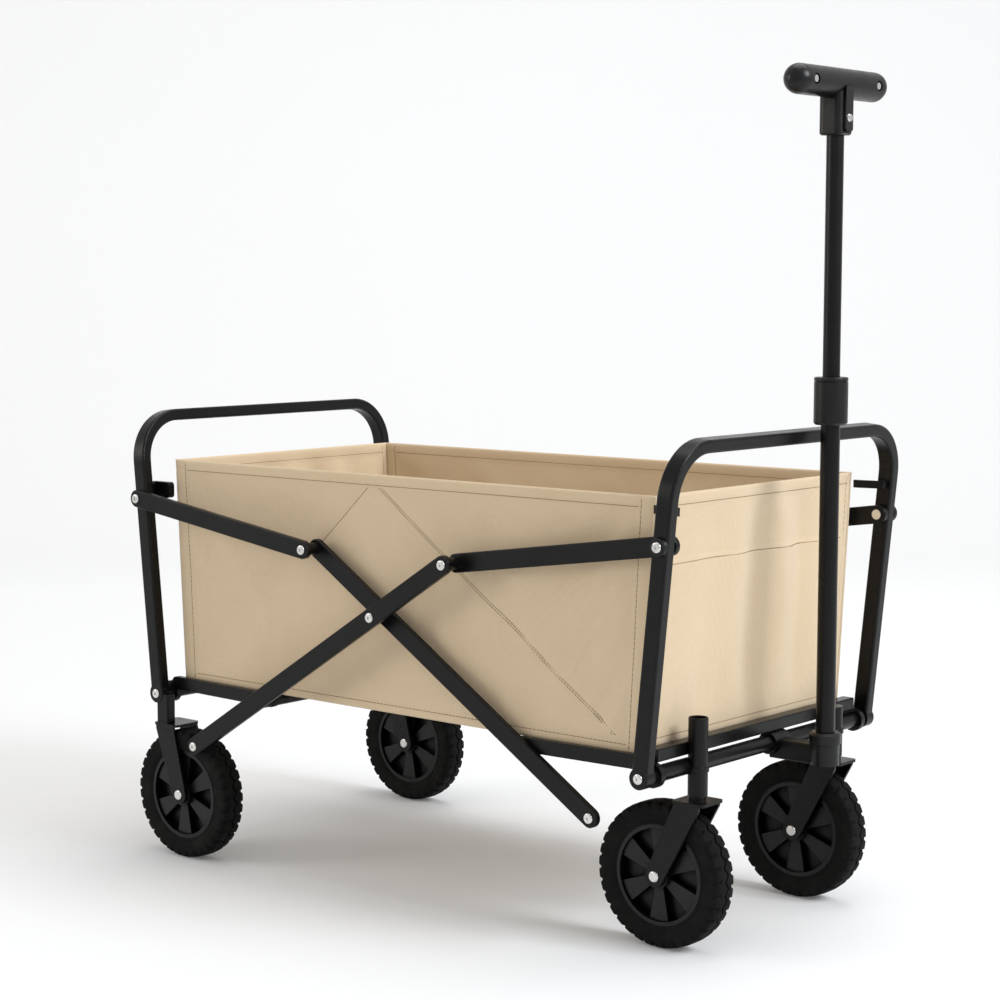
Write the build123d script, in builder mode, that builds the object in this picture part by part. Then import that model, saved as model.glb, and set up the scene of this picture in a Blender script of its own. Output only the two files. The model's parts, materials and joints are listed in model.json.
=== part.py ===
from build123d import *
import os
from math import atan2, cos, degrees, hypot, radians, sin, tan

# Folding beach cart.  Millimetres, +Z up.
# X runs along the cart, from the rear (-X) to the pulling end (+X); -Y is the right side, +Y the left.
# The origin is on the ground, under the middle of the wheelbase.

RIGHT = -1
LEFT = 1
SIDES = {"right": RIGHT, "left": LEFT}
REAR = -1
FRONT = 1

# End frames: the inverted-U hoops and the tubes between their feet
FOOT_X = 417.0              # lower pivot, from the middle of the cart
FOOT_Z = 227.0
SHOULDER_X = 444.0          # upper pivot
SHOULDER_Z = 500.0
HOOP_TOP_Z = 613.0
HOOP_CORNER_R = 62.0
HOOP_EDGE_R = 3.0
FOOT_DISC_R = 13.0           # rounded foot of a leg, round the lower pivot
LEG_Y = 246.0               # middle of a leg
LEG_DEPTH = 16.0            # across the cart
LEG_WIDTH = 22.0            # along the cart
TUBE_WALL = 1.5
FOOT_TUBE_R = 10.0
STUB_X = 406.0
STUB_CLEARANCE = 0.5
STUB_EDGE_R = 2.0
CROSS_BAR_X = (402.0, 420.0)
CROSS_BAR_Z = (241.0, 257.0)
CROSS_BAR_HALF_L = 219.0
CROSS_BAR_EDGE_R = 2.0

# Layers of the side linkage, as distances from the middle plane
BAR_T = 8.0
OUTER_LAYER = 255.0
INNER_LAYER = 229.0
RAIL_LAYER = 220.0
RAIL_T = 8.0
LAYER_GAP = 0.5

# Scissors
CROSS_Z = 376.0             # pin where the two diagonals cross
CROSS_ANGLE = 32.53         # slope of a diagonal, degrees
ELBOW_X = 121.18            # upper end of a diagonal
KNEE_X = 217.0              # where a diagonal meets its floor rail
TIP_X = 332.0               # lower end of a diagonal
BAR_W = 24.0
PIN_R = 4.0
RUNNING_FIT = 0.08
BOSS_R = 8.0
RIVET_HEAD_R = 6.5
RIVET_HEAD_H = 2.6
RIVET_HOLE_R = 1.9           # blind hole in the middle of a hollow rivet's head
RIVET_HOLE_DEPTH = 1.5
PIVOT_CAP_R = 12.0
PIVOT_CAP_H = 5.0
PIVOT_CAP_TAPER = 12.0
INNER_HEAD_GAP = 0.3
BAR_CHAMFER = 0.9

# Floor
RAIL_W = 18.0
RAIL_HUB_R = 15.0
RAIL_END_X = 404.0
RAIL_END_Z = 240.0
KNEE_TUBE_R = 8.0
KNEE_STUD_R = 5.0
KNEE_STUD_DEPTH = 6.0
BOARD_T = 6.0
BOARD_HALF_W = 208.0
BOARD_END_X = 281.0
BOARD_GAP = 0.4
BOARD_CORNER_R = 4.0

# Bag
BAG_T = 3.0
BAG_HALF_W = 217.5
BAG_TOP_Z = 554.0
BAG_BOTTOM_Z = 253.0
BAG_TOP_X = 412.0
BAG_BOTTOM_X = 396.0
BAG_SEAM_GAP = 0.5
STRIP_INNER_X = 287.0
REAR_BRACKET_H = 22.0
REAR_BRACKET_Z = 500.0
BRACKET_REACH_X = 413.5
BRACKET_INNER_Y = 219.0
BRACKET_ARM_T = 9.0
BRACKET_POST_L = 12.0
BRACKET_EDGE_R = 5.0
BRACKET_LEG_OVERLAP = 2.0
HOOK_Z = 534.0               # slim hooks of the front hoop
HOOK_H = 10.0
HOOK_PLAN = ((413.5, 219.0), (421.0, 219.0), (453.0, 227.0), (453.0, 238.0),
             (446.5, 238.0), (446.5, 228.3), (413.5, 223.5))

# Wheels and forks
WHEEL_R = 90.0
TYRE_W = 36.0
TYRE_SHOULDER_R = 8.0
TYRE_FOOT_H = 8.0
RIM_R = 62.0
RIM_RING_R = 57.0
RIM_W = 30.0
HUB_R = 16.0
HUB_W = 36.0
SPOKES = 6
SPOKE_W_HUB = 11.0
SPOKE_W_RIM = 28.0
SPOKE_T = 24.0
RIM_WEB_T = 5.0              # closes the rim between its spokes
AXLE_R = 4.0
FORK_PLATE_T = 3.5
FORK_GAP = 39.0             # between the two arms
CROWN_L = 46.0
CROWN_EDGE_R = 6.0
ARM_ROOT_L = 34.0
ARM_ROOT_H = 8.0
CROWN_BOTTOM_Z = 183.5
FORK_FOOT_R = 13.0
REAR_AXLE_X = 370.0
REAR_CROWN_X = 398.0
REAR_WHEEL_Y = 234.0
STEM_X = 430.0
CASTER_TRAIL = 46.0
CASTER_Y = 152.0
STEM_R = 6.0
STEM_COLLAR_R = 10.5
STEM_CLEARANCE = 0.3
STEM_END_GAP = 0.5
STEM_TOP_Z = 217.0
HOUSING_R = 12.0
HOUSING_BOTTOM_Z = 192.5
HOUSING_RING_R = 13.5
HOUSING_RING_Z = 222.0
HOUSING_RING_H = 6.0
RECEIVER_TOP_Z = 287.0
RECEIVER_BORE_R = 10.0
RECEIVER_FLOOR_Z = 245.0
RECEIVER_EDGE = 0.6

# Handle
HANDLE_X = 490.0
HANDLE_Y = 35.0
POLE_R = 11.8
POLE_BORE_R = 10.7
LOWER_POLE_BOTTOM_Z = 226.0
LOWER_POLE_TOP_Z = 632.0
UPPER_POLE_R = 10.6
UPPER_POLE_BORE_R = 9.2
UPPER_POLE_BOTTOM_Z = 560.0
UPPER_POLE_TOP_Z = 1010.0
SOCKET_R = 17.5
SOCKET_BOTTOM_Z = 208.0
SOCKET_TOP_Z = 235.0
SOCKET_RING_R = 19.7
SOCKET_RING_TOP_Z = 249.0
SOCKET_RING_CHAMFER = 3.0
CLAMP_R = 13.8
CLAMP_L = 34.0
BRACKET_ARM_W = 24.0
BRACKET_ARM_TOP_Z = 233.0
BRACKET_ARM_EDGE_R = 3.0
LOCK_R = 20.7
LOCK_BOTTOM_Z = 628.0
LOCK_TOP_Z = 686.0
LOCK_BOTTOM_CHAMFER = 2.5
LOCK_TOP_R = 2.0
LOCK_BORE_GAP = 1.2          # round the upper pole
LOCK_GROOVE_Z = 680.0
LOCK_GROOVE_W = 1.4
LOCK_GROOVE_DEPTH = 0.8
GRIP_Z = 1038.0
GRIP_R = 18.2
GRIP_HALF_L = 101.0
GRIP_STEM_W = 32.0
GRIP_STEM_EDGE_R = 8.0
GRIP_STEM_BOTTOM_Z = 976.0
GRIP_STEM_CHAMFER = 2.0
GRIP_RIB_W = 16.0
GRIP_RIB_H = 54.0
GRIP_RIB_T = 3.5
GRIP_RIB_EDGE_R = 4.0
GRIP_RIB_Z = GRIP_STEM_BOTTOM_Z + 31.0
GRIP_SCREW_Y = 71.0
GRIP_STEM_SCREW_Z = 996.0
SCREW_HEAD_R = 5.0
SCREW_HEAD_H = 1.8
SCREW_SHANK_R = 2.0
SCREW_SHANK_END = 12.0      # how far a shank reaches behind the middle of the grip
SCREW_RECESS = 3.0
SCREW_RECESS_R = 6.4
SCREW_HEAD_TAPER = 25.0

# Values that follow
LEAN = degrees(atan2(SHOULDER_X - FOOT_X, SHOULDER_Z - FOOT_Z))
SLOPE = tan(radians(CROSS_ANGLE))
ELBOW_Z = CROSS_Z + ELBOW_X * SLOPE
KNEE_Z = CROSS_Z - KNEE_X * SLOPE
TIP_Z = CROSS_Z - TIP_X * SLOPE
BOARD_Z = KNEE_Z + KNEE_TUBE_R
LEG_INNER = LEG_Y - LEG_DEPTH / 2
LEG_OUTER = LEG_Y + LEG_DEPTH / 2
OUTER_FACE = OUTER_LAYER + BAR_T
INNER_FACE = INNER_LAYER + BAR_T
CROWN_TOP_Z = CROWN_BOTTOM_Z + FORK_PLATE_T
FRONT_AXLE_X = STEM_X - CASTER_TRAIL


def side_plane(side, near, far):
    """Vertical plane across the cart, from which extruding far - near fills that layer of one side."""
    return Plane.XZ.offset(near) if side == RIGHT else Plane.XZ.offset(-far)


def finish(name, part):
    """Label a finished piece and write its file."""
    part.label = name
    export_step(part, f"parts/{name}.step")


def bent_hoop(end):
    """Inverted-U hoop of rectangular tube, leaning outward, with rounded feet round the lower pivot."""
    rise = (HOOP_TOP_Z - FOOT_Z) / cos(radians(LEAN))
    up = Vector(end * sin(radians(LEAN)), 0, cos(radians(LEAN)))
    foot = Vector(end * FOOT_X, 0, FOOT_Z)
    hoop_plane = Plane(origin=foot, x_dir=(0, 1, 0), z_dir=Vector(0, 1, 0).cross(up))
    with BuildPart() as hoop:
        with BuildLine(hoop_plane):
            FilletPolyline((-LEG_Y, 0), (-LEG_Y, rise), (LEG_Y, rise), (LEG_Y, 0), radius=HOOP_CORNER_R)
        section = Plane(origin=foot - Vector(0, LEG_Y, 0), x_dir=(0, 1, 0), z_dir=up)
        with BuildSketch(section):
            RectangleRounded(LEG_DEPTH, LEG_WIDTH, HOOP_EDGE_R)
            Rectangle(LEG_DEPTH - 2 * TUBE_WALL, LEG_WIDTH - 2 * TUBE_WALL, mode=Mode.SUBTRACT)
        sweep()
        for side in SIDES.values():
            with BuildSketch(side_plane(side, LEG_INNER, LEG_OUTER)):
                with Locations((end * FOOT_X, FOOT_Z)):
                    Circle(FOOT_DISC_R)
            extrude(amount=LEG_DEPTH)
            with BuildSketch(side_plane(side, LEG_INNER, LEG_OUTER)):
                with Locations((end * FOOT_X, FOOT_Z), (end * SHOULDER_X, SHOULDER_Z)):
                    Circle(PIN_R)
            extrude(amount=LEG_DEPTH, mode=Mode.SUBTRACT)
    return hoop.part


def foot_tube(end):
    """Round tube between the feet of a hoop; the floor rails turn on it."""
    with BuildPart() as tube:
        with BuildSketch(Plane.XZ.offset(-LEG_INNER)):
            with Locations((end * FOOT_X, FOOT_Z)):
                Circle(FOOT_TUBE_R)
                Circle(FOOT_TUBE_R - TUBE_WALL, mode=Mode.SUBTRACT)
        extrude(amount=2 * LEG_INNER)
    return tube.part


def front_cross_bar():
    """Rectangular bar under the front edge of the bag, notched round the two caster housings."""
    depth = CROSS_BAR_X[1] - CROSS_BAR_X[0]
    height = CROSS_BAR_Z[1] - CROSS_BAR_Z[0]
    with BuildPart() as bar:
        with BuildSketch(Plane.XZ.offset(-CROSS_BAR_HALF_L)):
            with Locations((sum(CROSS_BAR_X) / 2, sum(CROSS_BAR_Z) / 2)):
                RectangleRounded(depth, height, CROSS_BAR_EDGE_R)
        extrude(amount=2 * CROSS_BAR_HALF_L)
        with BuildSketch(Plane.XY.offset(CROSS_BAR_Z[0])):
            with Locations((STEM_X, CASTER_Y), (STEM_X, -CASTER_Y)):
                Circle(HOUSING_R)
        extrude(amount=2 * height, both=True, mode=Mode.SUBTRACT)
    return bar.part


def headed_pin(side, x, z, inner, outer, inner_head=False):
    """Rivet with a domed outer head, and a flat inner one where it is open to the inside."""
    with BuildPart() as pin:
        with BuildSketch(side_plane(side, inner, outer)):
            with Locations((x, z)):
                Circle(PIN_R)
        extrude(amount=outer - inner)
        with BuildSketch(side_plane(side, outer, outer + RIVET_HEAD_H)):
            with Locations((x, z)):
                Circle(RIVET_HEAD_R)
        extrude(amount=RIVET_HEAD_H)
        outer_face = pin.faces().sort_by(Axis.Y)[0 if side == RIGHT else -1]
        fillet(outer_face.edges(), RIVET_HEAD_H * 0.7)
        head_end = outer + RIVET_HEAD_H
        with BuildSketch(side_plane(side, head_end - RIVET_HOLE_DEPTH, head_end)):
            with Locations((x, z)):
                Circle(RIVET_HOLE_R)
        extrude(amount=RIVET_HOLE_DEPTH, mode=Mode.SUBTRACT)
        if inner_head:
            with BuildSketch(side_plane(side, inner - RIVET_HEAD_H, inner)):
                with Locations((x, z)):
                    Circle(RIVET_HEAD_R)
            extrude(amount=RIVET_HEAD_H)
    return pin.part


def rear_pins():
    """Upper pivots of the rear hoop, outside the leg, and the rivets of its feet."""
    pins = []
    for side in SIDES.values():
        pins.append(headed_pin(side, -SHOULDER_X, SHOULDER_Z, LEG_INNER, OUTER_FACE + INNER_HEAD_GAP))
        pins.append(headed_pin(side, -FOOT_X, FOOT_Z, LEG_INNER, LEG_OUTER))
    return Compound(pins)


def front_pins():
    """Upper pivots of the front hoop, through the leg and the link inside it, and the foot rivets."""
    pins = []
    for side in SIDES.values():
        outer = LEG_OUTER + PIVOT_CAP_H
        inner = INNER_LAYER - INNER_HEAD_GAP
        pins.append(headed_pin(side, SHOULDER_X, SHOULDER_Z, inner, outer, inner_head=True))
        pins.append(headed_pin(side, FOOT_X, FOOT_Z, LEG_INNER, LEG_OUTER))
    return Compound(pins)


def pivot_caps():
    """Moulded round caps under the rivets of the front upper pivots."""
    with BuildPart() as caps:
        for side in SIDES.values():
            with BuildSketch(side_plane(side, LEG_OUTER, LEG_OUTER + PIVOT_CAP_H)):
                with Locations((SHOULDER_X, SHOULDER_Z)):
                    Circle(PIVOT_CAP_R)
                    Circle(PIN_R, mode=Mode.SUBTRACT)
            extrude(amount=PIVOT_CAP_H, taper=PIVOT_CAP_TAPER)
    return caps.part


def rear_corner_brackets():
    """L-shaped blocks that reach from the legs of the rear hoop to the corners of the bag."""
    leg_x = SHOULDER_X + (REAR_BRACKET_Z + REAR_BRACKET_H / 2 - SHOULDER_Z) * tan(radians(LEAN))
    outer_x = leg_x + LEG_WIDTH / 2 - BRACKET_LEG_OVERLAP
    arm_y = BRACKET_INNER_Y + BRACKET_ARM_T / 2
    post_y = (BRACKET_INNER_Y + LEG_INNER) / 2
    with BuildPart() as brackets:
        for side in SIDES.values():
            with BuildSketch(Plane.XY.offset(REAR_BRACKET_Z)):
                with Locations((-(BRACKET_REACH_X + outer_x) / 2, side * arm_y)):
                    Rectangle(outer_x - BRACKET_REACH_X, BRACKET_ARM_T)
                with Locations((BRACKET_POST_L / 2 - outer_x, side * post_y)):
                    Rectangle(BRACKET_POST_L, LEG_INNER - BRACKET_INNER_Y)
            extrude(amount=REAR_BRACKET_H)
        fillet(brackets.edges().filter_by(Axis.Y), BRACKET_EDGE_R)
    return brackets.part


def front_corner_hooks():
    """Slim hooks that reach from the legs of the front hoop to the bag, above the swing of the links."""
    with BuildPart() as hooks:
        for side in SIDES.values():
            with BuildSketch(Plane.XY.offset(HOOK_Z)):
                Polygon(*[(x, side * y) for x, y in HOOK_PLAN], align=None)
            extrude(amount=HOOK_H)
    return hooks.part


def fork(side, crown_x, axle_x, wheel_y, stub):
    """Crown plate with two tapering arms; the rear one carries a square stub, the front one a stem."""
    centre_y = side * wheel_y
    arm_inner = FORK_GAP / 2
    with BuildPart() as body:
        with BuildSketch(Plane.XY.offset(CROWN_BOTTOM_Z)):
            with Locations((crown_x, centre_y)):
                RectangleRounded(CROWN_L, FORK_GAP + 2 * FORK_PLATE_T, CROWN_EDGE_R)
        extrude(amount=FORK_PLATE_T)
        for offset in (arm_inner, -arm_inner - FORK_PLATE_T):
            with BuildSketch(Plane.XZ.offset(-(centre_y + offset + FORK_PLATE_T))):
                with Locations((crown_x, CROWN_TOP_Z - ARM_ROOT_H / 2)):
                    Rectangle(ARM_ROOT_L, ARM_ROOT_H)
                with Locations((axle_x, WHEEL_R)):
                    Circle(FORK_FOOT_R)
                make_hull()
                with Locations((axle_x, WHEEL_R)):
                    Circle(AXLE_R, mode=Mode.SUBTRACT)
            extrude(amount=FORK_PLATE_T)
        if stub:
            with BuildSketch(Plane.XY.offset(CROWN_TOP_Z)):
                with Locations((-STUB_X, side * LEG_Y)):
                    RectangleRounded(LEG_WIDTH, LEG_DEPTH - 2 * STUB_CLEARANCE, STUB_EDGE_R)
            extrude(amount=FOOT_Z - CROWN_TOP_Z)
            with BuildSketch(side_plane(side, LEG_INNER, LEG_OUTER)):
                with Locations((-FOOT_X, FOOT_Z)):
                    Circle(FOOT_DISC_R)
            extrude(amount=LEG_DEPTH, mode=Mode.SUBTRACT)
        else:
            with BuildSketch(Plane.XY.offset(CROWN_TOP_Z)):
                with Locations((crown_x, centre_y)):
                    Circle(STEM_R)
            extrude(amount=STEM_TOP_Z - CROWN_TOP_Z)
            with BuildSketch(Plane.XY.offset(CROWN_TOP_Z)):
                with Locations((crown_x, centre_y)):
                    Circle(STEM_COLLAR_R)
            extrude(amount=HOUSING_BOTTOM_Z - CROWN_TOP_Z - STEM_CLEARANCE)
    return body.part


def axle(side, axle_x, wheel_y):
    """Axle bolt with domed heads against the outer faces of the fork arms."""
    half = FORK_GAP / 2 + FORK_PLATE_T
    with BuildPart() as bolt:
        with BuildSketch(Plane.XZ.offset(-(side * wheel_y + half))):
            with Locations((axle_x, WHEEL_R)):
                Circle(AXLE_R)
        extrude(amount=2 * half)
        for start, end in ((half, half + RIVET_HEAD_H), (-half - RIVET_HEAD_H, -half)):
            with BuildSketch(Plane.XZ.offset(-(side * wheel_y + end))):
                with Locations((axle_x, WHEEL_R)):
                    Circle(RIVET_HEAD_R + 0.5)
            extrude(amount=end - start)
        fillet(bolt.faces().sort_by(Axis.Y)[0].edges(), RIVET_HEAD_H * 0.7)
        fillet(bolt.faces().sort_by(Axis.Y)[-1].edges(), RIVET_HEAD_H * 0.7)
    return bolt.part


def tyre(side, axle_x, wheel_y):
    """Solid rubber tyre."""
    axle_line = Axis((axle_x, 0, WHEEL_R), (0, 1, 0))
    with BuildPart() as ring:
        with BuildSketch(Plane.YZ.offset(axle_x)):
            with Locations((side * wheel_y, WHEEL_R + (RIM_R + WHEEL_R) / 2)):
                RectangleRounded(TYRE_W, WHEEL_R - RIM_R, TYRE_SHOULDER_R)
            with Locations((side * wheel_y, WHEEL_R + RIM_R + TYRE_FOOT_H / 2)):
                Rectangle(RIM_W + 2, TYRE_FOOT_H)
        revolve(axis=axle_line)
    return ring.part


def rim(side, axle_x, wheel_y):
    """Moulded rim: ring, hub, and six wedge-shaped spokes on both faces of a closed web."""
    centre = Plane.XZ.offset(-side * wheel_y)
    with BuildPart() as body:
        with BuildSketch(centre):
            with Locations((axle_x, WHEEL_R)):
                Circle(RIM_R)
                Circle(RIM_RING_R, mode=Mode.SUBTRACT)
        extrude(amount=RIM_W / 2, both=True)
        with BuildSketch(centre):
            with Locations((axle_x, WHEEL_R)):
                Circle(HUB_R)
        extrude(amount=HUB_W / 2, both=True)
        with BuildSketch(centre):
            with Locations((axle_x, WHEEL_R)):
                with PolarLocations(0, SPOKES, start_angle=90):
                    inner = HUB_R - 3
                    outer = RIM_RING_R + 1
                    Polygon((inner, -SPOKE_W_HUB / 2), (outer, -SPOKE_W_RIM / 2),
                            (outer, SPOKE_W_RIM / 2), (inner, SPOKE_W_HUB / 2), align=None)
        extrude(amount=SPOKE_T / 2, both=True)
        with BuildSketch(centre):
            with Locations((axle_x, WHEEL_R)):
                Circle(RIM_RING_R + 1)
        extrude(amount=RIM_WEB_T / 2, both=True)
        with BuildSketch(centre):
            with Locations((axle_x, WHEEL_R)):
                Circle(AXLE_R + RUNNING_FIT)
        extrude(amount=HUB_W, both=True, mode=Mode.SUBTRACT)
    return body.part


def linkage_bar(side, layer, start, end, width, thickness=BAR_T, fixed_holes=(), running_holes=()):
    """Flat bar with rounded ends in one layer of the side linkage."""
    middle = ((start[0] + end[0]) / 2, (start[1] + end[1]) / 2)
    length = hypot(end[0] - start[0], end[1] - start[1])
    angle = degrees(atan2(end[1] - start[1], end[0] - start[0]))
    with BuildPart() as bar:
        with BuildSketch(side_plane(side, layer, layer + thickness)):
            with Locations(middle):
                SlotCenterToCenter(length, width, rotation=angle)
        extrude(amount=thickness)
        rims = bar.faces().sort_by(Axis.Y)
        chamfer(rims[0].edges() + rims[-1].edges(), BAR_CHAMFER)
        if fixed_holes or running_holes:
            with BuildSketch(side_plane(side, layer, layer + thickness)):
                for hole in fixed_holes:
                    with Locations(hole):
                        Circle(PIN_R)
                for hole in running_holes:
                    with Locations(hole):
                        Circle(PIN_R + RUNNING_FIT)
            extrude(amount=thickness, mode=Mode.SUBTRACT)
    return bar.part


def boss(side, x, z, near, far, bored):
    """Round spacer between two layers of the linkage."""
    with BuildPart() as spacer:
        with BuildSketch(side_plane(side, near, far)):
            with Locations((x, z)):
                Circle(BOSS_R)
                if bored:
                    Circle(PIN_R, mode=Mode.SUBTRACT)
        extrude(amount=far - near)
    return spacer.part


def outer_diagonal(side):
    """Diagonal from the rear tip up to the front elbow, in the outer layer."""
    bar = linkage_bar(side, OUTER_LAYER, (-TIP_X, TIP_Z), (ELBOW_X, ELBOW_Z), BAR_W,
                      fixed_holes=[(0, CROSS_Z), (ELBOW_X, ELBOW_Z), (-TIP_X, TIP_Z)])
    cross_spacer = boss(side, 0, CROSS_Z, INNER_FACE + LAYER_GAP, OUTER_LAYER, True)
    elbow_spacer = boss(side, ELBOW_X, ELBOW_Z, INNER_FACE + LAYER_GAP, OUTER_LAYER, True)
    with BuildPart() as diagonal:
        add(bar)
        add(cross_spacer)
        add(elbow_spacer)
        with BuildSketch(side_plane(side, OUTER_LAYER, OUTER_LAYER + KNEE_STUD_DEPTH + LAYER_GAP)):
            with Locations((-KNEE_X, KNEE_Z)):
                Circle(KNEE_STUD_R + RUNNING_FIT)
        extrude(amount=KNEE_STUD_DEPTH + LAYER_GAP, mode=Mode.SUBTRACT)
    return diagonal.part


def inner_diagonal(side):
    """Diagonal from the front tip up to the rear elbow, in the inner layer."""
    return linkage_bar(side, INNER_LAYER, (TIP_X, TIP_Z), (-ELBOW_X, ELBOW_Z), BAR_W,
                       fixed_holes=[(TIP_X, TIP_Z)], running_holes=[(0, CROSS_Z)])


def outer_link(side):
    """Link from the rear hoop to the rear elbow, in the outer layer."""
    bar = linkage_bar(side, OUTER_LAYER, (-SHOULDER_X, SHOULDER_Z), (-ELBOW_X, ELBOW_Z), BAR_W,
                      fixed_holes=[(-ELBOW_X, ELBOW_Z)], running_holes=[(-SHOULDER_X, SHOULDER_Z)])
    spacer = boss(side, -ELBOW_X, ELBOW_Z, INNER_FACE + LAYER_GAP, OUTER_LAYER, True)
    with BuildPart() as link:
        add(bar)
        add(spacer)
    return link.part


def inner_link(side):
    """Link from the front hoop to the front elbow, in the inner layer."""
    return linkage_bar(side, INNER_LAYER, (SHOULDER_X, SHOULDER_Z), (ELBOW_X, ELBOW_Z), BAR_W,
                       running_holes=[(SHOULDER_X, SHOULDER_Z)])


def outer_diagonal_rivets(side):
    """Pin through the crossing, and the rivets of the elbow and the tip."""
    cross = headed_pin(side, 0, CROSS_Z, INNER_LAYER - INNER_HEAD_GAP, OUTER_FACE, inner_head=True)
    elbow = headed_pin(side, ELBOW_X, ELBOW_Z, INNER_FACE + LAYER_GAP, OUTER_FACE)
    tip = headed_pin(side, -TIP_X, TIP_Z, OUTER_LAYER, OUTER_FACE)
    return Compound([cross, elbow, tip])


def inner_diagonal_rivet(side):
    """Rivet of the tip."""
    return headed_pin(side, TIP_X, TIP_Z, INNER_LAYER, INNER_FACE)


def outer_link_rivet(side):
    """Rivet of the rear elbow."""
    return headed_pin(side, -ELBOW_X, ELBOW_Z, INNER_FACE + LAYER_GAP, OUTER_FACE)


def floor_rails(end):
    """The two rails of one floor half, each with a hub round the foot tube."""
    rails = []
    for side in SIDES.values():
        with BuildPart() as rail:
            with BuildSketch(side_plane(side, RAIL_LAYER, RAIL_LAYER + RAIL_T)):
                x_mid = end * (KNEE_X + RAIL_END_X) / 2
                z_mid = (KNEE_Z + RAIL_END_Z) / 2
                length = hypot(RAIL_END_X - KNEE_X, RAIL_END_Z - KNEE_Z)
                angle = end * degrees(atan2(RAIL_END_Z - KNEE_Z, RAIL_END_X - KNEE_X))
                with Locations((x_mid, z_mid)):
                    SlotCenterToCenter(length, RAIL_W, rotation=angle)
                with Locations((end * FOOT_X, FOOT_Z)):
                    Circle(RAIL_HUB_R)
                    Circle(FOOT_TUBE_R + RUNNING_FIT, mode=Mode.SUBTRACT)
                with Locations((end * KNEE_X, KNEE_Z)):
                    Circle(KNEE_TUBE_R, mode=Mode.SUBTRACT)
            extrude(amount=RAIL_T)
        rails.append(rail.part)
    return Compound(rails)


def rear_knee_tube():
    """Cross tube under the rear floor half, with studs that carry the outer diagonals."""
    stud_end = OUTER_LAYER + KNEE_STUD_DEPTH
    with BuildPart() as tube:
        with BuildSketch(Plane.XZ.offset(-OUTER_LAYER + LAYER_GAP)):
            with Locations((-KNEE_X, KNEE_Z)):
                Circle(KNEE_TUBE_R)
        extrude(amount=2 * (OUTER_LAYER - LAYER_GAP))
        with BuildSketch(Plane.XZ.offset(-stud_end)):
            with Locations((-KNEE_X, KNEE_Z)):
                Circle(KNEE_STUD_R)
        extrude(amount=2 * stud_end)
    return tube.part


def front_knee_tube():
    """Cross tube under the front floor half; it ends just inside the inner diagonals."""
    half = INNER_LAYER - LAYER_GAP
    with BuildPart() as tube:
        with BuildSketch(Plane.XZ.offset(-half)):
            with Locations((KNEE_X, KNEE_Z)):
                Circle(KNEE_TUBE_R)
        extrude(amount=2 * half)
    return tube.part


def floor_board(end):
    """Stiff board of one floor half, resting on its cross tube and hinged to the other along the middle."""
    with BuildPart() as board:
        with BuildSketch(Plane.XY.offset(BOARD_Z)):
            with Locations((end * (BOARD_GAP + BOARD_END_X) / 2, 0)):
                Rectangle(BOARD_END_X - BOARD_GAP, 2 * BOARD_HALF_W)
        extrude(amount=BOARD_T)
        fillet(board.edges().filter_by(Axis.Z), BOARD_CORNER_R)
    return board.part


def bag_end_panel(end):
    """End wall of the bag, leaning outward with the hoop, and its strip of floor up to the board."""
    half = BAG_HALF_W - BAG_T - BAG_SEAM_GAP
    lean = (BAG_TOP_X - BAG_BOTTOM_X) / (BAG_TOP_Z - BAG_BOTTOM_Z)
    inner_corner = end * (BAG_BOTTOM_X - BAG_T + lean * BAG_T)
    strip_top = BAG_BOTTOM_Z + BAG_T
    with BuildPart() as panel:
        with BuildSketch(Plane.XZ.offset(-half)):
            Polygon((end * BAG_BOTTOM_X, BAG_BOTTOM_Z), (end * BAG_TOP_X, BAG_TOP_Z),
                    (end * (BAG_TOP_X - BAG_T), BAG_TOP_Z), (inner_corner, strip_top),
                    (end * STRIP_INNER_X, strip_top), (end * STRIP_INNER_X, BAG_BOTTOM_Z), align=None)
        extrude(amount=2 * half)
    return panel.part


def bag_side_panel(side):
    """Side wall of the bag."""
    with BuildPart() as panel:
        with BuildSketch(side_plane(side, BAG_HALF_W - BAG_T, BAG_HALF_W)):
            Polygon((-BAG_BOTTOM_X, BAG_BOTTOM_Z), (BAG_BOTTOM_X, BAG_BOTTOM_Z),
                    (BAG_TOP_X, BAG_TOP_Z), (-BAG_TOP_X, BAG_TOP_Z), align=None)
        extrude(amount=BAG_T)
    return panel.part


def caster_housing(side):
    """Upright bearing tube welded to the front foot tube; the right one goes on up as an open socket."""
    top = RECEIVER_TOP_Z if side == RIGHT else CROSS_BAR_Z[1]
    centre = (STEM_X, side * CASTER_Y)
    with BuildPart() as housing:
        with BuildSketch(Plane.XY.offset(HOUSING_BOTTOM_Z)):
            with Locations(centre):
                Circle(HOUSING_R)
        extrude(amount=top - HOUSING_BOTTOM_Z)
        with BuildSketch(Plane.XY.offset(HOUSING_RING_Z)):
            with Locations(centre):
                Circle(HOUSING_RING_R)
        extrude(amount=HOUSING_RING_H)
        with BuildSketch(Plane.XY.offset(HOUSING_BOTTOM_Z)):
            with Locations(centre):
                Circle(STEM_R + RUNNING_FIT)
        extrude(amount=STEM_TOP_Z + STEM_END_GAP - HOUSING_BOTTOM_Z, mode=Mode.SUBTRACT)
        with BuildSketch(Plane.XZ.offset(-side * CASTER_Y)):
            with Locations((FOOT_X, FOOT_Z)):
                Circle(FOOT_TUBE_R)
        extrude(amount=2 * HOUSING_RING_R, both=True, mode=Mode.SUBTRACT)
        if side == RIGHT:
            with BuildSketch(Plane.XY.offset(RECEIVER_FLOOR_Z)):
                with Locations(centre):
                    Circle(RECEIVER_BORE_R)
            extrude(amount=top - RECEIVER_FLOOR_Z, mode=Mode.SUBTRACT)
            chamfer(housing.edges().group_by(Axis.Z)[-1], RECEIVER_EDGE)
    return housing.part


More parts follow.
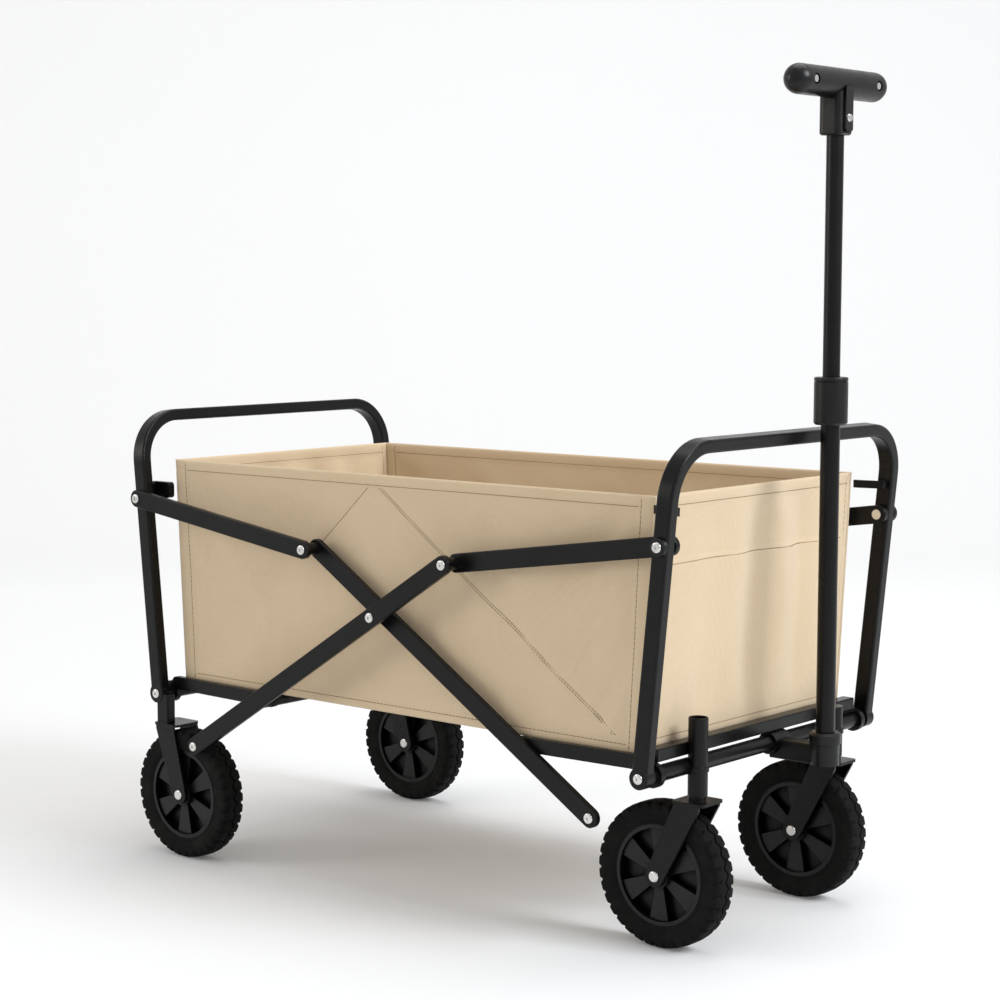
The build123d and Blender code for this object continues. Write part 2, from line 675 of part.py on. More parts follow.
def handle_bracket():
    """One-piece bracket: a clamp round the front foot tube, an arm forward, and the socket of the pole."""
    arm_end_x = HANDLE_X - SOCKET_R / 2
    with BuildPart() as bracket:
        with BuildSketch(Plane.XZ.offset(-HANDLE_Y)):
            with Locations((FOOT_X, FOOT_Z)):
                Circle(CLAMP_R)
        extrude(amount=CLAMP_L / 2, both=True)
        with BuildSketch(Plane.YZ.offset(FOOT_X)):
            with Locations((HANDLE_Y, (SOCKET_BOTTOM_Z + BRACKET_ARM_TOP_Z) / 2)):
                RectangleRounded(BRACKET_ARM_W, BRACKET_ARM_TOP_Z - SOCKET_BOTTOM_Z, BRACKET_ARM_EDGE_R)
        extrude(amount=arm_end_x - FOOT_X)
        with BuildSketch(Plane.XY.offset(SOCKET_BOTTOM_Z)):
            with Locations((HANDLE_X, HANDLE_Y)):
                Circle(SOCKET_R)
        extrude(amount=SOCKET_TOP_Z - SOCKET_BOTTOM_Z)
        with BuildSketch(Plane.XY.offset(SOCKET_TOP_Z)):
            with Locations((HANDLE_X, HANDLE_Y)):
                Circle(SOCKET_RING_R)
        extrude(amount=SOCKET_RING_TOP_Z - SOCKET_TOP_Z)
        chamfer(bracket.edges().group_by(Axis.Z)[-1], SOCKET_RING_CHAMFER)
        with BuildSketch(Plane.XY.offset(LOWER_POLE_BOTTOM_Z)):
            with Locations((HANDLE_X, HANDLE_Y)):
                Circle(POLE_R)
        extrude(amount=SOCKET_RING_TOP_Z - LOWER_POLE_BOTTOM_Z, mode=Mode.SUBTRACT)
        with BuildSketch(Plane.XZ.offset(-HANDLE_Y)):
            with Locations((FOOT_X, FOOT_Z)):
                Circle(FOOT_TUBE_R)
        extrude(amount=CLAMP_L, both=True, mode=Mode.SUBTRACT)
    return bracket.part


def pole(radius, bore, bottom, top):
    """Straight round tube on the handle's axis."""
    with BuildPart() as tube:
        with BuildSketch(Plane.XY.offset(bottom)):
            with Locations((HANDLE_X, HANDLE_Y)):
                Circle(radius)
                Circle(bore, mode=Mode.SUBTRACT)
        extrude(amount=top - bottom)
    return tube.part


def twist_lock():
    """Twist collar that clamps the upper pole."""
    centre = (HANDLE_X, HANDLE_Y)
    with BuildPart() as collar:
        with BuildSketch(Plane.XY.offset(LOCK_BOTTOM_Z)):
            with Locations(centre):
                Circle(LOCK_R)
        extrude(amount=LOCK_TOP_Z - LOCK_BOTTOM_Z)
        chamfer(collar.edges().group_by(Axis.Z)[0], LOCK_BOTTOM_CHAMFER)
        fillet(collar.edges().group_by(Axis.Z)[-1], LOCK_TOP_R)
        with BuildSketch(Plane.XY.offset(LOCK_GROOVE_Z)):
            with Locations(centre):
                Circle(LOCK_R + LOCK_GROOVE_DEPTH)
                Circle(LOCK_R - LOCK_GROOVE_DEPTH, mode=Mode.SUBTRACT)
        extrude(amount=LOCK_GROOVE_W, mode=Mode.SUBTRACT)
        with BuildSketch(Plane.XY.offset(LOCK_BOTTOM_Z)):
            with Locations(centre):
                Circle(POLE_R + RUNNING_FIT)
        extrude(amount=LOWER_POLE_TOP_Z + STEM_END_GAP - LOCK_BOTTOM_Z, mode=Mode.SUBTRACT)
        with BuildSketch(Plane.XY.offset(LOCK_BOTTOM_Z)):
            with Locations(centre):
                Circle(UPPER_POLE_R + LOCK_BORE_GAP)
        extrude(amount=LOCK_TOP_Z - LOCK_BOTTOM_Z, mode=Mode.SUBTRACT)
    return collar.part


def grip_body():
    """T-shaped grip before it is split into its two shells."""
    straight = GRIP_HALF_L - GRIP_R
    screw_places = ((HANDLE_Y - GRIP_SCREW_Y, GRIP_Z), (HANDLE_Y + GRIP_SCREW_Y, GRIP_Z))
    with BuildPart() as grip:
        with BuildSketch(Plane(origin=(HANDLE_X, HANDLE_Y, GRIP_Z), x_dir=(0, 1, 0), z_dir=(1, 0, 0))):
            with BuildLine():
                Line((-GRIP_HALF_L, 0), (GRIP_HALF_L, 0))
                RadiusArc((GRIP_HALF_L, 0), (straight, GRIP_R), -GRIP_R)
                Line((straight, GRIP_R), (-straight, GRIP_R))
                RadiusArc((-straight, GRIP_R), (-GRIP_HALF_L, 0), -GRIP_R)
            make_face()
        revolve(axis=Axis((HANDLE_X, HANDLE_Y, GRIP_Z), (0, 1, 0)))
        with BuildSketch(Plane.XY.offset(GRIP_STEM_BOTTOM_Z)):
            with Locations((HANDLE_X, HANDLE_Y)):
                RectangleRounded(GRIP_STEM_W, GRIP_STEM_W, GRIP_STEM_EDGE_R)
        extrude(amount=GRIP_Z - GRIP_STEM_BOTTOM_Z)
        chamfer(grip.edges().group_by(Axis.Z)[0], GRIP_STEM_CHAMFER)
        with BuildSketch(Plane.YZ.offset(HANDLE_X)):
            with Locations((HANDLE_Y, GRIP_RIB_Z)):
                RectangleRounded(GRIP_RIB_W, GRIP_RIB_H, GRIP_RIB_EDGE_R)
        extrude(amount=GRIP_STEM_W / 2 + GRIP_RIB_T)
        with BuildSketch(Plane.XY.offset(GRIP_STEM_BOTTOM_Z)):
            with Locations((HANDLE_X, HANDLE_Y)):
                Circle(UPPER_POLE_R)
        extrude(amount=UPPER_POLE_TOP_Z - GRIP_STEM_BOTTOM_Z, mode=Mode.SUBTRACT)
        with BuildSketch(Plane.YZ.offset(HANDLE_X + GRIP_R - SCREW_RECESS)):
            with Locations(*screw_places):
                Circle(SCREW_RECESS_R)
        extrude(amount=GRIP_R, mode=Mode.SUBTRACT)
        with BuildSketch(Plane.YZ.offset(HANDLE_X - SCREW_SHANK_END)):
            with Locations(*screw_places):
                Circle(SCREW_SHANK_R)
        extrude(amount=GRIP_R + SCREW_SHANK_END, mode=Mode.SUBTRACT)
    return grip.part


def grip_shell(end):
    """Half of the grip, split across the pulling direction."""
    with BuildPart() as shell:
        add(grip_body())
        split(bisect_by=Plane.YZ.offset(HANDLE_X), keep=Keep.TOP if end == FRONT else Keep.BOTTOM)
    return shell.part


def grip_screws():
    """Two screws that hold the shells together, and the one in the stem's rib."""
    seat = HANDLE_X + GRIP_R - SCREW_RECESS
    rib_face = HANDLE_X + GRIP_STEM_W / 2 + GRIP_RIB_T
    screw_places = ((HANDLE_Y - GRIP_SCREW_Y, GRIP_Z), (HANDLE_Y + GRIP_SCREW_Y, GRIP_Z))
    with BuildPart() as screws:
        with BuildSketch(Plane.YZ.offset(seat)):
            with Locations(*screw_places):
                Circle(SCREW_HEAD_R)
        extrude(amount=SCREW_HEAD_H, taper=SCREW_HEAD_TAPER)
        with BuildSketch(Plane.YZ.offset(HANDLE_X - SCREW_SHANK_END)):
            with Locations(*screw_places):
                Circle(SCREW_SHANK_R)
        extrude(amount=seat - HANDLE_X + SCREW_SHANK_END)
        with BuildSketch(Plane.YZ.offset(rib_face)):
            with Locations((HANDLE_Y, GRIP_STEM_SCREW_Z)):
                Circle(SCREW_HEAD_R)
        extrude(amount=SCREW_HEAD_H, taper=SCREW_HEAD_TAPER)
    return screws.part


os.makedirs("parts", exist_ok=True)

finish("rear_hoop", bent_hoop(REAR))
finish("front_hoop", bent_hoop(FRONT))
finish("rear_foot_tube", foot_tube(REAR))
finish("front_foot_tube", foot_tube(FRONT))
finish("front_cross_bar", front_cross_bar())
finish("rear_frame_rivets", rear_pins())
finish("front_frame_rivets", front_pins())
finish("front_pivot_caps", pivot_caps())
finish("rear_corner_brackets", rear_corner_brackets())
finish("front_corner_brackets", front_corner_hooks())
finish("rear_floor_rails", floor_rails(REAR))
finish("front_floor_rails", floor_rails(FRONT))
finish("rear_knee_tube", rear_knee_tube())
finish("front_knee_tube", front_knee_tube())
finish("rear_floor_board", floor_board(REAR))
finish("front_floor_board", floor_board(FRONT))
finish("bag_rear_panel", bag_end_panel(REAR))
finish("bag_front_panel", bag_end_panel(FRONT))

for name, side in SIDES.items():
    finish(f"rear_fork_{name}", fork(side, -REAR_CROWN_X, -REAR_AXLE_X, REAR_WHEEL_Y, True))
    finish(f"caster_fork_{name}", fork(side, STEM_X, FRONT_AXLE_X, CASTER_Y, False))
    finish(f"caster_housing_{name}", caster_housing(side))
    finish(f"rear_axle_{name}", axle(side, -REAR_AXLE_X, REAR_WHEEL_Y))
    finish(f"front_axle_{name}", axle(side, FRONT_AXLE_X, CASTER_Y))
    finish(f"rear_tyre_{name}", tyre(side, -REAR_AXLE_X, REAR_WHEEL_Y))
    finish(f"front_tyre_{name}", tyre(side, FRONT_AXLE_X, CASTER_Y))
    finish(f"rear_rim_{name}", rim(side, -REAR_AXLE_X, REAR_WHEEL_Y))
    finish(f"front_rim_{name}", rim(side, FRONT_AXLE_X, CASTER_Y))
    finish(f"outer_diagonal_{name}", outer_diagonal(side))
    finish(f"inner_diagonal_{name}", inner_diagonal(side))
    finish(f"outer_link_{name}", outer_link(side))
    finish(f"inner_link_{name}", inner_link(side))
    finish(f"outer_diagonal_rivets_{name}", outer_diagonal_rivets(side))
    finish(f"inner_diagonal_rivet_{name}", inner_diagonal_rivet(side))
    finish(f"outer_link_rivet_{name}", outer_link_rivet(side))
    finish(f"bag_{name}_panel", bag_side_panel(side))

finish("handle_bracket", handle_bracket())
finish("lower_pole", pole(POLE_R, POLE_BORE_R, LOWER_POLE_BOTTOM_Z, LOWER_POLE_TOP_Z))
finish("upper_pole", pole(UPPER_POLE_R, UPPER_POLE_BORE_R, UPPER_POLE_BOTTOM_Z, UPPER_POLE_TOP_Z))
finish("twist_lock", twist_lock())
finish("grip_front_shell", grip_shell(FRONT))
finish("grip_rear_shell", grip_shell(REAR))
finish("grip_screws", grip_screws())
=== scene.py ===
import json
import math
import bpy
import numpy as np
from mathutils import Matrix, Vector


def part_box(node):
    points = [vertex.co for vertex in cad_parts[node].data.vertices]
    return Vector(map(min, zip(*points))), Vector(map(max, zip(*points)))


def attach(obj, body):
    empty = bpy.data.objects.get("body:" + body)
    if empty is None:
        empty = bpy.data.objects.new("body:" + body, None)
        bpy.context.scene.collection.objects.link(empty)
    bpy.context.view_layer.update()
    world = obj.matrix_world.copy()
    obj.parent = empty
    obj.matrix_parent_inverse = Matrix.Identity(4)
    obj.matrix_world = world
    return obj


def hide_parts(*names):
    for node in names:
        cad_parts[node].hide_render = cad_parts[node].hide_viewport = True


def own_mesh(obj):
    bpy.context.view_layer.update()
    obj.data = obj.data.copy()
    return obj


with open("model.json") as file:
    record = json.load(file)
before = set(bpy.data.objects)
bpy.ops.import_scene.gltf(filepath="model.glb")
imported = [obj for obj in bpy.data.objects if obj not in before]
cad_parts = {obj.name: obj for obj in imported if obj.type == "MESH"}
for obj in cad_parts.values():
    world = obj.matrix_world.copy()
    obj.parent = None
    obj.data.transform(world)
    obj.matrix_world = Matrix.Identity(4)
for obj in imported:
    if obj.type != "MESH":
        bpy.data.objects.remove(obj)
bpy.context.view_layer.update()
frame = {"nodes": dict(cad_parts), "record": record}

# Folding beach cart.  Metres, +Z up, +X towards the pulling end, -Y the right side.

SIDES = {"right": -1, "left": 1}
ENDS = {"rear": -1, "front": 1}

# Bag
CLOTH_T = 0.0022
HEM_T = 0.0018               # extra thickness of a turned hem
TOP_HEM = 0.017
BOTTOM_HEM = 0.013
SIDE_HEM = 0.024             # on the side walls
END_HEM = 0.011              # on the end walls
HEM_LIP = 0.0012             # half of the width over which a hem's thickness falls away
EDGE_ROUNDING_W = 0.0018
POCKET_TOP = 0.079           # pocket's edge, below the bag's top
POCKET_LIP = 0.0026
POCKET_SEAM_IN = 0.005
POCKET_T = 0.0012
BAG_LEAN = 0.016             # how far an end wall leans out from bottom to top
WALL_DROP = 0.007            # the side walls hang inside the rails
MOST_BILLOW = 0.0038         # keeps a side wall off the floor boards inside and the rails outside
BILLOW_SHIFT = 0.0016
STRIP_CLEARANCE = 0.0020     # between a floor strip and the side walls
CLOTH_STEP = 0.0026
STRIP_T = 0.0020
STRIP_LIFT = 0.0016          # middle of a floor strip above the bag's bottom
STRIP_SAG = 0.0006

# Floor pads
PAD_ROLL_R = 0.003
PAD_CROWN = 0.0008
PAD_SEAM_IN = 0.018          # border seam, inside the pad's edge

# Stitching
STITCH_L = 0.0036
STITCH_GAP = 0.0006
STITCH_R = 0.0006
STITCH_SIDES = 6
STITCH_PROFILE = (           # share of a stitch's length, share of its radius
    (0.0, 0.25), (0.15, 0.9), (0.5, 1.0), (0.85, 0.9), (1.0, 0.25))
SEAM_IN = 0.003              # from a top or bottom hem's inner edge to its stitching
SIDE_SEAM_IN = 0.004         # the same on an upright hem of a side wall
END_SEAM_IN = 0.002          # and of an end wall
SEAM_END = 0.004             # from the end of an upright seam to the cloth's edge
HEM_PIECES = 60              # straight rows that follow a long hem of a side wall
SEAM_FURROW_W = 0.0024
SEAM_FURROW_DEPTH = 0.0006
DIAGONAL_FURROW_W = 0.0040
DIAGONAL_FURROW_DEPTH = 0.0007

# Tyres
TYRE_LUGS = 34
TYRE_DEPTH = 0.028           # from bead to tread
LUG_GAP_DEPTH = 0.0030
CENTRE_GROOVE_DEPTH = 0.0036
LUG_TUCK = 0.05              # share of the half width by which the gaps cut into the shoulder
LUG_SAMPLES = 14
SHARP_EDGE = math.radians(38)


def smooth(edge0, edge1, x):
    """Smooth step from 0 at edge0 to 1 at edge1."""
    t = np.clip((x - edge0) / (edge1 - edge0), 0, 1)
    return t * t * (3 - 2 * t)


def bell(x, width):
    return np.exp(-(x / width) ** 2)


def new_object(name, verts, faces, material, shade_smooth=True):
    mesh = bpy.data.meshes.new(name)
    mesh.from_pydata([tuple(v) for v in verts], [], [tuple(f) for f in faces])
    mesh.update()
    if shade_smooth:
        mesh.polygons.foreach_set("use_smooth", [True] * len(mesh.polygons))
    mesh.materials.append(material)
    obj = bpy.data.objects.new(name, mesh)
    bpy.context.scene.collection.objects.link(obj)
    return obj


def grid_faces(rows, cols, start=0, flip=False, wrap=False):
    """Quads of a rows x cols grid of vertices; wrap joins the last row to the first."""
    faces = []
    for i in range(rows if wrap else rows - 1):
        j = (i + 1) % rows
        for k in range(cols - 1):
            here, there = start + i * cols + k, start + j * cols + k
            quad = (here, there, there + 1, here + 1)
            faces.append(quad[::-1] if flip else quad)
    return faces


def slab(name, outer, inner, material):
    """Closed sheet between two grids of points, outer and inner, each rows x cols x 3."""
    rows, cols = outer.shape[:2]
    count = rows * cols
    verts = np.concatenate([outer.reshape(-1, 3), inner.reshape(-1, 3)])
    faces = grid_faces(rows, cols) + grid_faces(rows, cols, count, flip=True)
    border = [(i, 0) for i in range(rows - 1)] + [(rows - 1, k) for k in range(cols - 1)]
    border += [(i, cols - 1) for i in range(rows - 1, 0, -1)] + [(0, k) for k in range(cols - 1, 0, -1)]
    ring = [i * cols + k for i, k in border]
    for a, b in zip(ring, ring[1:] + ring[:1]):
        faces.append((b, a, a + count, b + count))
    obj = new_object(name, verts, faces, material)
    obj.data.validate()
    return obj


def face_outward(obj):
    """Turn all faces of a closed mesh outward."""
    bpy.context.view_layer.objects.active = obj
    obj.select_set(True)
    bpy.ops.object.mode_set(mode="EDIT")
    bpy.ops.mesh.select_all(action="SELECT")
    bpy.ops.mesh.normals_make_consistent(inside=False)
    bpy.ops.object.mode_set(mode="OBJECT")
    obj.select_set(False)


# ---------------------------------------------------------------- materials

def shader(name, roughness, metallic=0.0, **sockets):
    """Empty principled material; returns the material, its node tree and its shader node."""
    material = bpy.data.materials.new(name)
    material.use_nodes = True
    tree = material.node_tree
    bsdf = tree.nodes["Principled BSDF"]
    bsdf.inputs["Roughness"].default_value = roughness
    bsdf.inputs["Metallic"].default_value = metallic
    for socket, value in sockets.items():
        bsdf.inputs[socket.replace("_", " ")].default_value = value
    return material, tree, bsdf


def node(tree, kind, **values):
    made = tree.nodes.new(kind)
    for key, value in values.items():
        if key in made.inputs:
            made.inputs[key].default_value = value
        else:
            setattr(made, key, value)
    return made


def noise(tree, scale, detail=3.0, stretch=(1, 1, 1)):
    """Noise in object space, with an optional stretch along each axis."""
    place = node(tree, "ShaderNodeTexCoord")
    mapping = node(tree, "ShaderNodeMapping")
    mapping.inputs["Scale"].default_value = stretch
    texture = node(tree, "ShaderNodeTexNoise", Scale=scale, Detail=detail)
    tree.links.new(place.outputs["Object"], mapping.inputs["Vector"])
    tree.links.new(mapping.outputs["Vector"], texture.inputs["Vector"])
    return texture.outputs["Fac"]


def ramp(tree, factor, stops):
    """Colour ramp over stops of (position, grey or rgb)."""
    made = node(tree, "ShaderNodeValToRGB")
    elements = made.color_ramp.elements
    while len(elements) < len(stops):
        elements.new(0.5)
    for element, (position, colour) in zip(elements, stops):
        element.position = position
        rgb = (colour, colour, colour) if isinstance(colour, float) else colour
        element.color = (*rgb, 1.0)
    tree.links.new(factor, made.inputs["Fac"])
    return made.outputs["Color"]


def bump(tree, bsdf, height, strength, distance, after=None):
    made = node(tree, "ShaderNodeBump", Strength=strength, Distance=distance)
    tree.links.new(height, made.inputs["Height"])
    if after is not None:
        tree.links.new(after, made.inputs["Normal"])
    tree.links.new(made.outputs["Normal"], bsdf.inputs["Normal"])
    return made.outputs["Normal"]


def rounded_edges(tree, radius):
    """Normal that rounds sharp edges, so that they catch the light."""
    return node(tree, "ShaderNodeBevel", samples=4, Radius=radius).outputs["Normal"]


def powder_coat():
    """Matte black powder coat with a fine orange peel and slightly worn, paler patches."""
    material, tree, bsdf = shader("powder_coat", 0.42)
    bsdf.inputs["Specular IOR Level"].default_value = 0.20
    shades = ramp(tree, noise(tree, 14.0, 5.0),
                  [(0.3, (0.0028, 0.0028, 0.0028)), (0.75, (0.0050, 0.0049, 0.0047))])
    tree.links.new(shades, bsdf.inputs["Base Color"])
    gloss = ramp(tree, noise(tree, 30.0, 4.0), [(0.25, 0.24), (0.8, 0.36)])
    tree.links.new(gloss, bsdf.inputs["Roughness"])
    bump(tree, bsdf, noise(tree, 1400.0, 2.0), 0.10, 0.0003, rounded_edges(tree, 0.0016))
    return material


def moulded_plastic():
    """Black moulded plastic with a fine spark-eroded grain, with painted shade that darkens it and dulls its
    reflection in its deep pockets.
    """
    material, tree, bsdf = shader("moulded_plastic", 0.40)
    shades = ramp(tree, noise(tree, 22.0, 4.0),
                  [(0.3, (0.0030, 0.0030, 0.0029)), (0.8, (0.0062, 0.0061, 0.0058))])
    # Painted shade: ambient occlusion darkens the colour in pockets and recesses, where real shade falls
    painted_pocket_shade = node(tree, "ShaderNodeAmbientOcclusion", samples=6, Distance=0.022)
    tree.links.new(shades, painted_pocket_shade.inputs["Color"])
    tree.links.new(painted_pocket_shade.outputs["Color"], bsdf.inputs["Base Color"])
    # Painted shade on the reflection: the specular level drops in the same pockets
    painted_shade_sheen = ramp(tree, painted_pocket_shade.outputs["AO"], [(0.30, 0.02), (0.85, 0.28)])
    tree.links.new(painted_shade_sheen, bsdf.inputs["Specular IOR Level"])
    gloss = ramp(tree, noise(tree, 60.0, 3.0), [(0.3, 0.26), (0.8, 0.40)])
    tree.links.new(gloss, bsdf.inputs["Roughness"])
    bump(tree, bsdf, noise(tree, 2600.0, 3.0), 0.2, 0.0002, rounded_edges(tree, 0.0009))
    return material


def rubber():
    """Tyre rubber, dull, with faint dust in the tread."""
    material, tree, bsdf = shader("tyre_rubber", 0.66)
    bsdf.inputs["Specular IOR Level"].default_value = 0.11
    shades = ramp(tree, noise(tree, 35.0, 6.0),
                  [(0.3, (0.0030, 0.0030, 0.0028)), (0.55, (0.0044, 0.0043, 0.0040)),
                   (0.80, (0.0100, 0.0096, 0.0087))])
    tree.links.new(shades, bsdf.inputs["Base Color"])
    gloss = ramp(tree, noise(tree, 90.0, 4.0), [(0.2, 0.60), (0.8, 0.84)])
    tree.links.new(gloss, bsdf.inputs["Roughness"])
    bump(tree, bsdf, noise(tree, 900.0, 4.0), 0.3, 0.0004)
    return material


def rivet_steel():
    """Brushed zinc-plated steel."""
    material, tree, bsdf = shader("rivet_steel", 0.3, metallic=1.0)
    shades = ramp(tree, noise(tree, 500.0, 3.0), [(0.25, (0.58, 0.57, 0.55)), (0.8, (0.78, 0.77, 0.75))])
    tree.links.new(shades, bsdf.inputs["Base Color"])
    gloss = ramp(tree, noise(tree, 800.0, 2.0), [(0.3, 0.16), (0.8, 0.30)])
    tree.links.new(gloss, bsdf.inputs["Roughness"])
    bump(tree, bsdf, noise(tree, 1800.0, 2.0), 0.15, 0.0002)
    return material


def canvas(name, pale, dark):
    """Woven canvas: two crossed thread waves, slubs in the yarn, and soft variation of the dye."""
    material, tree, bsdf = shader(name, 0.88)
    bsdf.inputs["Sheen Weight"].default_value = 0.25
    bsdf.inputs["Sheen Roughness"].default_value = 0.5
    bsdf.inputs["Specular IOR Level"].default_value = 0.2
    place = node(tree, "ShaderNodeTexCoord")
    waves = []
    for angles in ((0, 0, 0), (0, math.radians(90), 0), (0, 0, math.radians(90))):
        mapping = node(tree, "ShaderNodeMapping")
        mapping.inputs["Rotation"].default_value = angles
        wave = node(tree, "ShaderNodeTexWave", wave_type="BANDS", bands_direction="X",
                    Scale=230.0, Distortion=1.2, Detail=2.0)
        wave.inputs["Detail Scale"].default_value = 2.0
        tree.links.new(place.outputs["Object"], mapping.inputs["Vector"])
        tree.links.new(mapping.outputs["Vector"], wave.inputs["Vector"])
        waves.append(wave.outputs["Fac"])
    weave = node(tree, "ShaderNodeMath", operation="ADD")
    tree.links.new(waves[0], weave.inputs[0])
    tree.links.new(waves[1], weave.inputs[1])
    threads = node(tree, "ShaderNodeMath", operation="ADD")
    tree.links.new(weave.outputs[0], threads.inputs[0])
    tree.links.new(waves[2], threads.inputs[1])
    dye = ramp(tree, noise(tree, 5.0, 4.0), [(0.28, dark), (0.72, pale)])
    slub = ramp(tree, noise(tree, 700.0, 3.0, stretch=(1, 1, 0.35)), [(0.3, 0.955), (0.7, 1.0)])
    tint = node(tree, "ShaderNodeMix", data_type="RGBA", blend_type="MULTIPLY")
    tint.inputs["Factor"].default_value = 1.0
    tree.links.new(dye, tint.inputs["A"])
    tree.links.new(slub, tint.inputs["B"])
    shade = ramp(tree, threads.outputs[0], [(0.2, 0.93), (1.0, 1.0)])
    cloth = node(tree, "ShaderNodeMix", data_type="RGBA", blend_type="MULTIPLY")
    cloth.inputs["Factor"].default_value = 1.0
    tree.links.new(tint.outputs["Result"], cloth.inputs["A"])
    tree.links.new(shade, cloth.inputs["B"])
    tree.links.new(cloth.outputs["Result"], bsdf.inputs["Base Color"])
    yarn = bump(tree, bsdf, threads.outputs[0], 0.35, 0.0003)
    bump(tree, bsdf, noise(tree, 60.0, 5.0), 0.25, 0.0012, yarn)
    return material


def thread():
    """Twisted polyester sewing thread, a little darker than the cloth."""
    material, tree, bsdf = shader("sewing_thread", 0.6)
    shades = ramp(tree, noise(tree, 300.0, 2.0), [(0.3, (0.20, 0.125, 0.066)), (0.8, (0.28, 0.185, 0.105))])
    tree.links.new(shades, bsdf.inputs["Base Color"])
    bump(tree, bsdf, noise(tree, 3000.0, 2.0), 0.3, 0.0002)
    return material


CAMERA_YAW = 41.03
# Scale of the painted light glow on the studio white
PAINTED_GLOW_SCALE = 0.2             # ramp positions per metre


def studio_white(name, colour, roughness):
    """Matt white with a painted glow: emission that stands in for light and grows a little towards the back.
    """
    material, tree, bsdf = shader(name, roughness)
    shades = ramp(tree, noise(tree, 0.8, 2.0), [(0.2, tuple(c * 0.985 for c in colour)), (0.8, colour)])
    tree.links.new(shades, bsdf.inputs["Base Color"])
    bsdf.inputs["Specular IOR Level"].default_value = 0.1
    # Painted light: the emission grows towards the back, so the backdrop is brighter than the floor
    bsdf.inputs["Emission Color"].default_value = (1.0, 1.0, 1.0, 1.0)
    place = node(tree, "ShaderNodeTexCoord")
    mapping = node(tree, "ShaderNodeMapping")
    mapping.inputs["Rotation"].default_value = (0, 0, -math.radians(CAMERA_YAW))
    mapping.inputs["Scale"].default_value = (PAINTED_GLOW_SCALE, PAINTED_GLOW_SCALE, PAINTED_GLOW_SCALE)
    parts = node(tree, "ShaderNodeSeparateXYZ")
    tree.links.new(place.outputs["Object"], mapping.inputs["Vector"])
    tree.links.new(mapping.outputs["Vector"], parts.inputs[0])
    painted_light_glow = ramp(tree, parts.outputs["Y"], [(0.08, 0.08), (0.55, 0.25)])
    tree.links.new(painted_light_glow, bsdf.inputs["Emission Strength"])
    return material


POWDER = powder_coat()
PLASTIC = moulded_plastic()
RUBBER = rubber()
STEEL = rivet_steel()
CANVAS = canvas("canvas", (0.640, 0.502, 0.336), (0.600, 0.464, 0.302))
FLOOR_CANVAS = canvas("floor_canvas", (0.57, 0.455, 0.305), (0.52, 0.41, 0.27))
THREAD = thread()

SLOT_MATERIALS = {
    "frame_black": POWDER,
    "rivet_steel": STEEL,
    "moulded_black": PLASTIC,
    "tyre_black": RUBBER,
    "bag_fabric": CANVAS,
    "floor_board": FLOOR_CANVAS,
}


def dress_cad_nodes():
    """Give every CAD node the material of its slot."""
    for part in frame["record"]["subparts"]:
        obj = frame["nodes"][part["node"]]
        obj.data.materials.clear()
        obj.data.materials.append(SLOT_MATERIALS[part["material_slot"]])


# ---------------------------------------------------------------- bag

def stitches(name, rows):
    """Rows of stitches.  Each row is (start, end, normal): points on the cloth, and the way it faces."""
    verts, faces = [], []
    sides = STITCH_SIDES
    for start, end, normal in rows:
        start, end, normal = Vector(start), Vector(end), Vector(normal).normalized()
        run = end - start
        along = run.normalized()
        across = along.cross(normal)
        count = max(1, int(run.length / (STITCH_L + STITCH_GAP)))
        pitch = run.length / count
        for i in range(count):
            first = start + along * (i * pitch + STITCH_GAP / 2)
            base = len(verts)
            for share, width in STITCH_PROFILE:
                centre = first + along * (share * (pitch - STITCH_GAP))
                for k in range(sides):
                    angle = 2 * math.pi * k / sides
                    out = normal * math.sin(angle) * 0.8 + across * math.cos(angle)
                    verts.append(centre + out * STITCH_R * width)
            for r in range(len(STITCH_PROFILE) - 1):
                for k in range(sides):
                    a, b = base + r * sides + k, base + r * sides + (k + 1) % sides
                    faces.append((a, b, b + sides, a + sides))
            faces.append(tuple(base + k for k in range(sides))[::-1])
            last = base + (len(STITCH_PROFILE) - 1) * sides
            faces.append(tuple(last + k for k in range(sides)))
    return new_object(name, verts, faces, THREAD)


def hem_thickness(u_edge, z_low, z_high, side_hem, below, above):
    """Half thickness of the cloth: thicker in the turned hems, dimpled along their seams.
    u_edge is the distance from the nearer upright edge, below and above from the lower and upper edges."""
    hem, seam = 0, 0
    hems = ((u_edge, side_hem, SIDE_SEAM_IN), (below, z_low, SEAM_IN), (above, z_high, SEAM_IN))
    for distance, hem_w, inset in hems:
        hem = np.maximum(hem, 1 - smooth(hem_w - HEM_LIP, hem_w + HEM_LIP, distance))
        seam = np.maximum(seam, bell(distance - hem_w + inset, SEAM_FURROW_W))
    edge = np.minimum(np.minimum(u_edge, below), above)
    rounding = 1 - 0.45 * bell(edge, EDGE_ROUNDING_W)
    return (CLOTH_T / 2 + HEM_T / 2 * hem) * rounding - SEAM_FURROW_DEPTH * seam


def line_distance(x, z, start, end):
    """Distance of points from a segment."""
    ax, az = start
    dx, dz = end[0] - ax, end[1] - az
    t = np.clip(((x - ax) * dx + (z - az) * dz) / (dx * dx + dz * dz), 0, 1)
    return np.hypot(x - ax - t * dx, z - az - t * dz)


NOISE_WAVES = 14


def soft_noise(x, z, seed, size, stretch=1.0):
    """Smooth random field from a few fixed waves."""
    rng = np.random.default_rng(seed)
    field = np.zeros_like(x)
    for _ in range(NOISE_WAVES):
        angle, phase = rng.uniform(0, 2 * math.pi, 2)
        pitch = size * rng.uniform(0.7, 1.6)
        along = x * math.cos(angle) * stretch + z * math.sin(angle)
        field += np.sin(2 * math.pi * along / pitch + phase)
    return field / NOISE_WAVES


